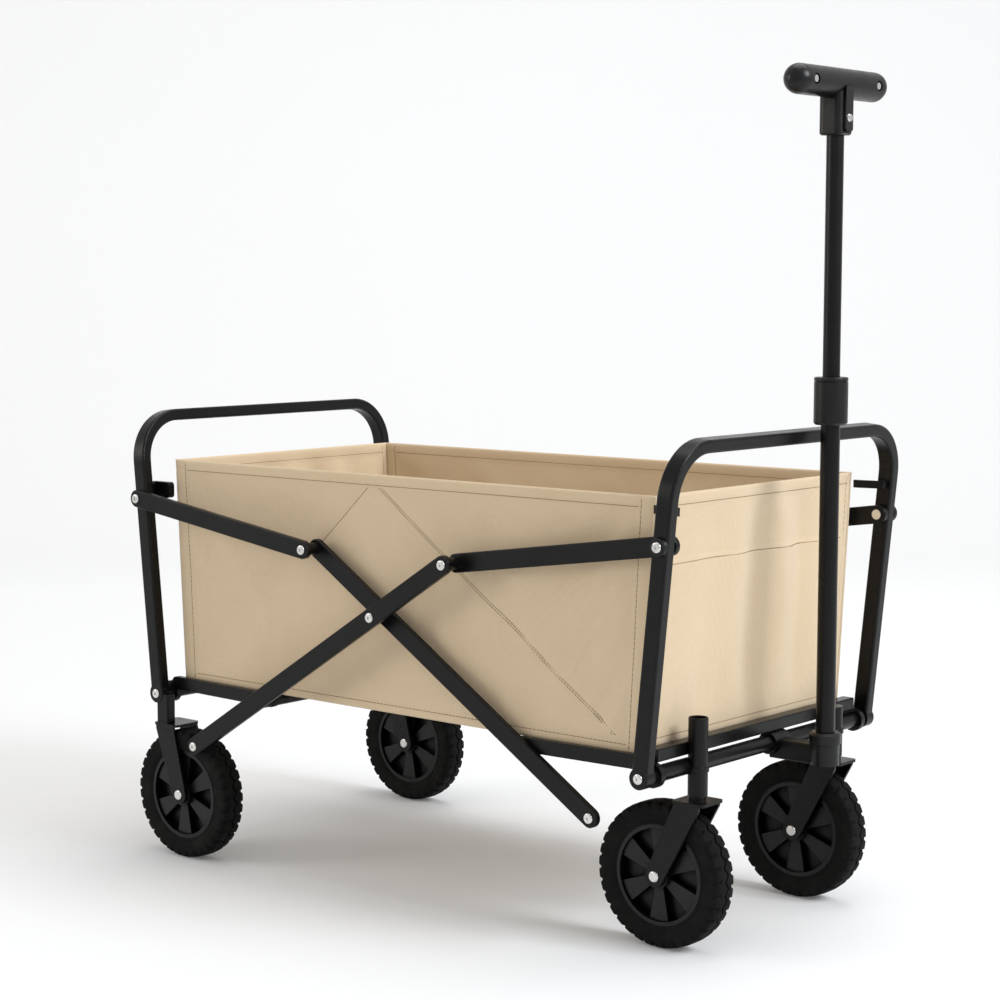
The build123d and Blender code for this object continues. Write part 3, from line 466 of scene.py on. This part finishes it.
def fade(edge, h, height, reach):
    """0 at the wall's hems and 1 inside; reach is from an upright, the lower and the upper edge."""
    side_reach, low_reach, high_reach = reach
    return smooth(0.0, side_reach, edge) * smooth(0.0, low_reach, h) * smooth(0.0, high_reach, height - h)


def cloth_point(face, across, up, half_length, height):
    """Point of a wall's face at a place given from its middle line and its lower edge."""
    rows, cols = face.shape[:2]
    i = int(round((across / half_length + 1) / 2 * (rows - 1)))
    k = int(round(up / height * (cols - 1)))
    return face[min(max(i, 0), rows - 1), min(max(k, 0), cols - 1)]


def places(start, end, pieces):
    """Evenly spaced places from start to end."""
    return [(start[0] + (end[0] - start[0]) * i / pieces, start[1] + (end[1] - start[1]) * i / pieces)
            for i in range(pieces + 1)]


# Diagonal seams of a side wall, as (x, z) from its middle and its bottom: the apex is under the top hem, the
# rear one ends at the elbow of the linkage and the front one at the lower corner.
APEX_X = -0.036
SEAM_SPREAD = 0.009
REAR_SEAM_END = (-0.137, 0.206)
FRONT_SEAM_END = (0.351, 0.019)
DOUBLE_SEAM = 0.0055         # between the two rows of the front seam

SIDE_FADE = (0.07, 0.05, 0.06)
SIDE_WAVES = ((0.0040, 5, 0.26, 1.0), (0.0018, 11, 0.11, 1.5))   # depth, seed, size, stretch
SIDE_BULGE = 0.0010

# Soft pulls in a side wall: start, end, half width, depth
SIDE_CREASES = (
    ((-0.40, 0.30), (-0.24, 0.12), 0.020, 0.0036),
    ((-0.34, 0.04), (-0.20, 0.17), 0.026, -0.0044),
    ((-0.39, 0.16), (-0.30, 0.10), 0.018, -0.0034),
    ((-0.22, 0.28), (-0.16, 0.24), 0.020, -0.0026),
    ((0.02, 0.24), (0.10, 0.08), 0.022, 0.0030),
    ((0.06, 0.10), (0.16, 0.03), 0.020, -0.0036),
    ((0.40, 0.30), (0.28, 0.10), 0.017, 0.0036),
    ((0.36, 0.28), (0.22, 0.16), 0.020, -0.0040),
    ((0.39, 0.14), (0.33, 0.04), 0.016, -0.0034),
    ((0.16, 0.26), (0.20, 0.12), 0.020, -0.0030),
)


def side_wall(side):
    """One long wall of the bag."""
    sign = SIDES[side]
    low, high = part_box(f"bag_{side}_panel")
    low.z -= WALL_DROP
    height = high.z - low.z
    cols = int(height / CLOTH_STEP) + 1
    rows = int((high.x - low.x) / CLOTH_STEP) + 1
    u, v = np.meshgrid(np.linspace(-1, 1, rows), np.linspace(0, 1, cols), indexing="ij")
    half_length = high.x - BAG_LEAN * (1 - v)
    x = u * half_length
    h = v * height
    apex = height - TOP_HEM
    seams = [((APEX_X - SEAM_SPREAD, apex), REAR_SEAM_END), ((APEX_X + SEAM_SPREAD, apex), FRONT_SEAM_END)]
    edge = (1 - np.abs(u)) * half_length
    inside = fade(edge, h, height, SIDE_FADE)
    billow = SIDE_BULGE * inside
    for depth, seed, size, stretch in SIDE_WAVES:
        billow += depth * inside * soft_noise(x, h, seed + sign, size, stretch)
    for start, stop, size, depth in SIDE_CREASES:
        billow += depth * inside * bell(line_distance(x, h, start, stop), size)
    billow = MOST_BILLOW * np.tanh(billow / MOST_BILLOW) - BILLOW_SHIFT * inside
    furrow = sum(bell(line_distance(x, h, start, end), DIAGONAL_FURROW_W) for start, end in seams)
    middle = (low.y + high.y) / 2 + sign * billow
    half = hem_thickness(edge, BOTTOM_HEM, TOP_HEM, SIDE_HEM, h, height - h)
    outside = half - DIAGONAL_FURROW_DEPTH * furrow
    outer = np.stack([x, middle + sign * outside, low.z + h], axis=-1)
    inner = np.stack([x, middle - sign * half, low.z + h], axis=-1)
    wall = slab(f"bag_{side}_wall", outer, inner, CANVAS)
    face_outward(wall)

    rows_of_stitches = []

    def sew(face, facing, start, end, pieces=24):
        points = []
        for across, up in places(start, end, pieces):
            half_here = high.x - BAG_LEAN * (1 - up / height)
            points.append((across, cloth_point(face, across, up, half_here, height)[1], low.z + up))
        rows_of_stitches.extend((a, b, (0, facing, 0)) for a, b in zip(points, points[1:]))

    inset = SIDE_HEM - SIDE_SEAM_IN
    left, right = -high.x + SIDE_HEM, high.x - SIDE_HEM
    upper_seam, lower_seam = height - TOP_HEM + SEAM_IN, BOTTOM_HEM - SEAM_IN
    for face, facing in ((outer, sign), (inner, -sign)):
        for end in (-1, 1):
            foot = (end * (high.x - BAG_LEAN - inset), SEAM_END)
            head = (end * (high.x - inset), height - SEAM_END)
            sew(face, facing, foot, head)
        sew(face, facing, (left, upper_seam), (right, upper_seam), HEM_PIECES)
        sew(face, facing, (left + BAG_LEAN, lower_seam), (right - BAG_LEAN, lower_seam), HEM_PIECES)
    for start, end in seams:
        sew(outer, sign, start, end)
    start, end = seams[1]
    sew(outer, sign, (start[0] + DOUBLE_SEAM, start[1]), (end[0] + DOUBLE_SEAM, end[1]))
    thread_work = stitches(f"bag_{side}_stitching", rows_of_stitches)
    for piece in (wall, thread_work):
        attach(piece, "rear_frame")
        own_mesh(piece)
    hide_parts(f"bag_{side}_panel")


END_FADE = (0.08, 0.07, 0.06)
END_WAVE = (0.0030, 23, 0.20)     # depth, seed, size
END_BULGE = -0.0014
END_WALL_IN = 0.0006
FOLD_DEPTH = 0.0058
FOLD_SWAY = 0.012                 # how far the upright folds swing sideways
# Upright folds of an end wall: place, way they swing, half width, height
END_FOLDS = (
    (0.055, 1, 0.019, 1.0),
    (0.098, 1, 0.016, -0.9),
    (0.014, -1, 0.020, -0.8),
    (-0.030, -1, 0.022, 0.6),
    (-0.085, -1, 0.026, -0.5),
    (0.140, 1, 0.018, 0.5),
)


def end_wall(end):
    """One end wall of the bag with its strip of floor; the front one carries the flat pocket."""
    sign = ENDS[end]
    low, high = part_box(f"bag_{end}_panel")
    height = high.z - low.z
    width = high.y - low.y
    top_x = max(abs(low.x), abs(high.x))
    cols = int(height / CLOTH_STEP) + 1
    rows = int(width / CLOTH_STEP) + 1
    u, v = np.meshgrid(np.linspace(-1, 1, rows), np.linspace(0, 1, cols), indexing="ij")
    y = u * width / 2
    h = v * height
    edge = (1 - np.abs(u)) * width / 2
    inside = fade(edge, h, height, END_FADE)
    sway = FOLD_SWAY * np.sin(h / height * 2.6 + 0.4)
    folds = sum(rise * bell(y - place - way * sway, size) for place, way, size, rise in END_FOLDS)
    wave_depth, seed, wave_size = END_WAVE
    wave = wave_depth * soft_noise(y, h, seed + sign, wave_size)
    billow = inside * (FOLD_DEPTH * folds + wave + END_BULGE)
    pocket = smooth(0.0, POCKET_LIP, (height - POCKET_TOP) - h)
    pocket *= smooth(END_HEM - END_SEAM_IN, END_HEM + 0.001, edge)
    middle = top_x - CLOTH_T / 2 - BAG_LEAN * (1 - v) + billow - END_WALL_IN
    half = hem_thickness(edge, BOTTOM_HEM, TOP_HEM, END_HEM, h, height - h)
    outside = half + (POCKET_T * pocket if end == "front" else 0)
    outer = np.stack([sign * (middle + outside), y, low.z + h], axis=-1)
    inner = np.stack([sign * (middle - half), y, low.z + h], axis=-1)
    wall = slab(f"bag_{end}_wall", outer, inner, CANVAS)
    face_outward(wall)

    rows_of_stitches = []

    def sew(face, facing, start, stop, pieces=40):
        points = []
        for across, up in places(start, stop, pieces):
            points.append((cloth_point(face, across, up, width / 2, height)[0], across, low.z + up))
        rows_of_stitches.extend((a, b, (facing, 0, 0)) for a, b in zip(points, points[1:]))

    inset = width / 2 - END_HEM + END_SEAM_IN
    for face, facing in ((outer, sign), (inner, -sign)):
        for across in (-inset, inset):
            sew(face, facing, (across, SEAM_END), (across, height - SEAM_END))
        for up in (height - TOP_HEM + SEAM_IN, BOTTOM_HEM - SEAM_IN):
            sew(face, facing, (-inset, up), (inset, up))
    if end == "front":
        pocket_seam = height - POCKET_TOP - POCKET_SEAM_IN
        sew(outer, sign, (-inset, pocket_seam), (inset, pocket_seam))
    thread_work = stitches(f"bag_{end}_stitching", rows_of_stitches)

    floor_rows, floor_cols = 30, 100
    inner_x = min(abs(low.x), abs(high.x))
    s, t = np.meshgrid(np.linspace(0, 1, floor_rows), np.linspace(-1, 1, floor_cols), indexing="ij")
    reach = top_x - BAG_LEAN - CLOTH_T - inner_x
    strip_x = inner_x + s * reach
    strip_y = t * (width / 2 - STRIP_CLEARANCE)
    sag = -STRIP_SAG * np.sin(np.pi * s) * (1 - t * t)
    strip_z = low.z + STRIP_LIFT + sag
    upper = np.stack([sign * strip_x, strip_y, strip_z + STRIP_T / 2], axis=-1)
    lower = np.stack([sign * strip_x, strip_y, strip_z - STRIP_T / 2], axis=-1)
    strip = slab(f"bag_{end}_floor", upper, lower, FLOOR_CANVAS)
    face_outward(strip)
    body = f"{end}_frame"
    for piece in (wall, thread_work, strip):
        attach(piece, body)
    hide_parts(f"bag_{end}_panel")


def floor_pad(end):
    """Fabric-covered board of one floor half, slightly crowned, with a sewn border."""
    low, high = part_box(f"{end}_floor_board")
    rows, cols = 90, 130
    u, v = np.meshgrid(np.linspace(0, 1, rows), np.linspace(0, 1, cols), indexing="ij")
    x = low.x + u * (high.x - low.x)
    y = low.y + v * (high.y - low.y)
    edge = np.minimum(np.minimum(x - low.x, high.x - x), np.minimum(y - low.y, high.y - y))
    roll = np.sqrt(np.clip(1 - (1 - np.clip(edge / PAD_ROLL_R, 0, 1)) ** 2, 0.02, 1))
    seam = bell(edge - PAD_SEAM_IN, 0.0022)
    crown = PAD_CROWN * smooth(0.02, 0.10, edge) + 0.0003 * soft_noise(x, y, 3, 0.09)
    middle = (low.z + high.z) / 2
    half = (high.z - low.z) / 2
    top_z = middle + half * roll - 0.0005 * seam + crown * (edge > PAD_ROLL_R)
    upper = np.stack([x, y, top_z], axis=-1)
    lower = np.stack([x, y, middle - half * roll], axis=-1)
    pad = slab(f"{end}_floor_pad", upper, lower, FLOOR_CANVAS)
    face_outward(pad)
    top = high.z - 0.0001
    x_range = (low.x + PAD_SEAM_IN, high.x - PAD_SEAM_IN)
    y_range = (low.y + PAD_SEAM_IN, high.y - PAD_SEAM_IN)
    corners = [(x_range[i], y_range[k]) for i, k in ((0, 0), (1, 0), (1, 1), (0, 1))]
    border = [((*a, top), (*b, top), (0, 0, 1)) for a, b in zip(corners, corners[1:] + corners[:1])]
    thread_work = stitches(f"{end}_floor_stitching", border)
    for piece in (pad, thread_work):
        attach(piece, f"{end}_floor")
    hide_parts(f"{end}_floor_board")


# ---------------------------------------------------------------- wheels

# Half of a tyre's section, from one bead to the middle of the tread: share of the half width, and height
# over the bead.
TYRE_SECTION = (
    (0.84, 0.0), (0.88, 0.0022), (0.91, 0.0030), (0.88, 0.0040), (0.92, 0.0058), (0.955, 0.0090),
    (0.97, 0.0125), (0.975, 0.0150), (1.0, 0.0162), (1.0, 0.0195), (0.99, 0.0225), (0.965, 0.0245),
    (0.92, 0.0256), (0.85, 0.0264), (0.76, 0.0270), (0.66, 0.0274), (0.54, 0.0277), (0.42, 0.0279),
    (0.30, 0.0280), (0.20, 0.0280), (0.115, 0.0280), (0.085, 0.0280), (0.045, 0.0280), (0.015, 0.0280))
ZIGZAG = 0.16                # share of the half width by which the centre groove swings
GROOVE_HALF_W = 0.06
LUG_SLANT = 0.30             # of a pitch, from the tread's middle to its edge


def tyre(node_name, body):
    """Tyre with shallow staggered shoulder lugs, a zigzag centre groove and a smooth, ringed sidewall."""
    low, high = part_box(node_name)
    centre = (low + high) / 2
    bead = (high.z - low.z) / 2 - TYRE_DEPTH
    half_width = (high.y - low.y) / 2
    section = TYRE_SECTION + tuple((-share, rise) for share, rise in reversed(TYRE_SECTION))
    steps = TYRE_LUGS * LUG_SAMPLES
    angle = np.arange(steps) / steps * 2 * math.pi
    phase = np.arange(steps) / LUG_SAMPLES
    zigzag = ZIGZAG * (2 * np.abs(2 * ((phase + 0.25) % 1.0) - 1) - 1)
    verts = np.zeros((steps, len(section), 3))
    for k, (share, rise) in enumerate(section):
        a = abs(share)
        stagger = 0.5 if share < 0 else 0.0
        place = (phase + stagger + LUG_SLANT * a) % 1.0
        gap = np.maximum(1 - smooth(0.06, 0.19, place), smooth(0.81, 0.94, place))
        shoulder = smooth(0.40, 0.66, a) * smooth(0.0190, 0.0235, rise)
        depth = np.maximum(LUG_GAP_DEPTH * gap * shoulder, CENTRE_GROOVE_DEPTH * (a < GROOVE_HALF_W))
        tuck = LUG_TUCK * gap * smooth(0.85, 0.95, a) * smooth(0.0160, 0.0225, rise)
        sway = zigzag * (1 - smooth(0.20, 0.76, a))
        r = bead + rise - depth
        verts[:, k, 0] = centre.x + r * np.cos(angle)
        verts[:, k, 1] = centre.y + (share - np.sign(share) * tuck + sway) * half_width
        verts[:, k, 2] = centre.z + r * np.sin(angle)
    count = len(section)
    faces = grid_faces(steps, count, wrap=True)
    for i in range(steps):
        j = (i + 1) % steps
        faces.append((i * count, i * count + count - 1, j * count + count - 1, j * count))
    obj = new_object(node_name + "_knobby", verts.reshape(-1, 3), faces, RUBBER)
    face_outward(obj)
    obj.data.set_sharp_from_angle(angle=SHARP_EDGE)
    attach(obj, body)
    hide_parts(node_name)


# ---------------------------------------------------------------- studio

FLOOR_START = -9.0           # along the backdrop's own direction
FLOOR_END = 3.4
BEND_R = 1.2
BEND_STEPS = 12
BACKDROP_TOP = 5.0
BACKDROP_HALF_W = 7.0
SURROUND_STRENGTH = 0.70
LIGHTS = (                   # name, place, point it aims at, side, watts, colour
    ("key", (3.4, 0.5, 2.6), (0.1, 0.0, 0.3), 1.5, 122, (0.89, 0.94, 1.0)),
    ("fill", (-2.6, -2.8, 1.5), (0.0, 0.0, 0.4), 1.4, 32, (1.0, 0.96, 0.90)),
    ("top", (0.2, 0.6, 3.4), (0.0, 0.0, 0.3), 2.4, 46, (1.0, 1.0, 1.0)),
)


def area_light(name, place, aim, size, power, colour):
    data = bpy.data.lights.new(name, "AREA")
    data.shape = "SQUARE"
    data.size = size
    data.energy = power
    data.color = colour
    lamp = bpy.data.objects.new(name, data)
    lamp.location = place
    lamp.rotation_euler = (Vector(aim) - Vector(place)).to_track_quat("-Z", "Y").to_euler()
    bpy.context.scene.collection.objects.link(lamp)


def studio():
    """Pale floor that curves up into a backdrop and glows with painted light towards the back, a large key
    light from the front, and soft fill.
    """
    white = studio_white("studio_white", (0.69, 0.69, 0.69), 0.9)
    profile = [(FLOOR_START, 0.0), (FLOOR_END, 0.0)]
    for i in range(1, BEND_STEPS + 1):
        turn = math.radians(90 * i / BEND_STEPS)
        profile.append((FLOOR_END + BEND_R * math.sin(turn), BEND_R * (1 - math.cos(turn))))
    profile.append((FLOOR_END + BEND_R, BACKDROP_TOP))
    turn = math.radians(CAMERA_YAW)
    away = Vector((-math.sin(turn), math.cos(turn), 0))
    side = Vector((math.cos(turn), math.sin(turn), 0))
    verts = []
    for distance, height in profile:
        for across in (-BACKDROP_HALF_W, BACKDROP_HALF_W):
            verts.append(away * distance + side * across + Vector((0, 0, height)))
    faces = [(2 * i, 2 * i + 1, 2 * i + 3, 2 * i + 2) for i in range(len(profile) - 1)]
    new_object("backdrop", verts, faces, white)
    world = bpy.data.worlds.new("studio")
    world.use_nodes = True
    surround = world.node_tree.nodes["Background"]
    surround.inputs["Color"].default_value = (1.0, 1.0, 1.0, 1.0)
    surround.inputs["Strength"].default_value = SURROUND_STRENGTH
    bpy.context.scene.world = world
    for name, place, aim, size, power, colour in LIGHTS:
        area_light(name, place, aim, size, power, colour)


CAMERA_PLACE = (1.9423, -2.3411, 0.8032)
CAMERA_TILT = 84.24
CAMERA_LENS = 81.36
CAMERA_SHIFT = (0.0511, 0.0079)


def camera():
    data = bpy.data.cameras.new("camera")
    data.lens = CAMERA_LENS
    data.sensor_width = 36.0
    data.shift_x, data.shift_y = CAMERA_SHIFT
    obj = bpy.data.objects.new("camera", data)
    obj.location = CAMERA_PLACE
    obj.rotation_euler = (math.radians(CAMERA_TILT), 0, math.radians(CAMERA_YAW))
    bpy.context.scene.collection.objects.link(obj)
    bpy.context.scene.camera = obj


camera()
studio()
dress_cad_nodes()
for side in SIDES:
    side_wall(side)
    tyre(f"rear_tyre_{side}", f"rear_wheel_{side}")
    tyre(f"front_tyre_{side}", f"front_wheel_{side}")
for end in ENDS:
    end_wall(end)
    floor_pad(end)
bpy.context.scene.view_settings.view_transform = "Standard"
